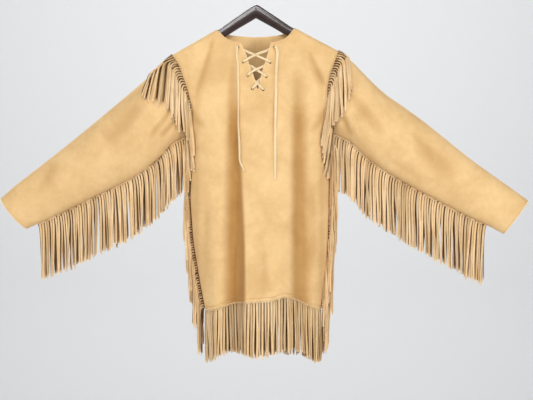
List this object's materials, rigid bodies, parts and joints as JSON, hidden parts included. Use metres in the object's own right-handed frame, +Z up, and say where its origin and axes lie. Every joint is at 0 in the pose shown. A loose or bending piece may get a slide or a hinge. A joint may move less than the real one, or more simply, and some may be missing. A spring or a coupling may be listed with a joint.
{
  "type": "fringed buckskin shirt on a hanger",
  "caption": "Pull-over buckskin shirt with a laced neck slit and fringed seams and hem, hanging open and empty on a plain wooden hanger.",
  "frame": {"origin": "centre of the pin at the peak of the hanger, where the whole thing is held up", "axes": "+Z up, -Y out of the shirt's front, +X along the sleeves towards the right as seen from the front"},
  "size_m": [1.4423, 0.209, 0.9725],
  "materials": {
    "buckskin": "matte suede",
    "fringe": "matte suede, cut edges paler",
    "thong": "matte",
    "eyelet_metal": "satin",
    "hanger_wood": "gloss varnish",
    "pin_metal": "satin"
  },
  "bodies": {
    "root": {"front": "buckskin", "back": "buckskin", "sleeve_left": "buckskin", "sleeve_right": "buckskin", "fringe_sleeve_left": "fringe", "fringe_sleeve_right": "fringe", "fringe_armhole_left": "fringe", "fringe_armhole_right": "fringe", "fringe_side_left": "fringe", "fringe_side_right": "fringe", "fringe_hem_front": "fringe", "fringe_hem_back": "fringe", "eyelet_left_1": "eyelet_metal", "eyelet_left_2": "eyelet_metal", "eyelet_left_3": "eyelet_metal", "eyelet_left_4": "eyelet_metal", "eyelet_right_1": "eyelet_metal", "eyelet_right_2": "eyelet_metal", "eyelet_right_3": "eyelet_metal", "eyelet_right_4": "eyelet_metal", "lace_crossing": "thong", "lace_tail_left": "thong", "lace_tail_right": "thong", "hanger": "hanger_wood", "hanger_pin": "pin_metal"}
  },
  "joints": []
}
